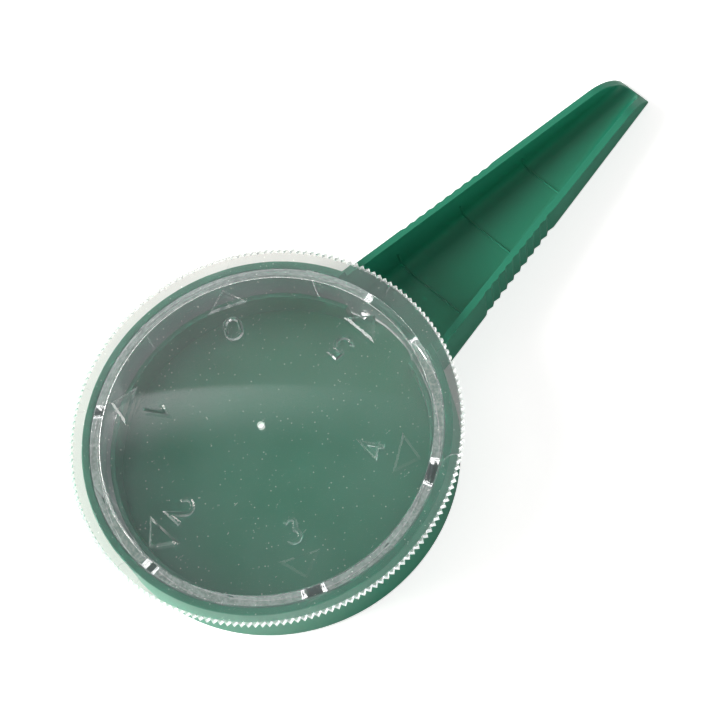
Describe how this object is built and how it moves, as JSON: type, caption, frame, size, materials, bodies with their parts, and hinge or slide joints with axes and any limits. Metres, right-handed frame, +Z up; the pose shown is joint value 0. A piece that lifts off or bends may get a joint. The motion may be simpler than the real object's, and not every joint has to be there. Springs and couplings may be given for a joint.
{
  "type": "dial seed sower",
  "caption": "Hand seed sower: seeds poured into the round cup leave through the gate picked on the clear toothed dial and trickle down the tapering channel",
  "frame": {"origin": "on the dial's axis, in the plane of the flat underside", "axes": "+Z up along the dial's axis, +X along the channel to its open end, +Y to the channel's left seen from the dial"},
  "size_m": [0.1305, 0.07, 0.0178],
  "materials": {
    "body": "smooth glossy dark green moulded polypropylene",
    "dial": "clear colourless moulded styrene plastic, lightly scratched"
  },
  "bodies": {
    "body": {"body": "body"},
    "dial": {"dial": "dial"}
  },
  "joints": [
    {"name": "dial_spin", "type": "hinge", "parent": "body", "child": "dial", "pos_m": [0, 0, 0.0132], "axis": [0, 0, 1], "continuous": true}
  ]
}
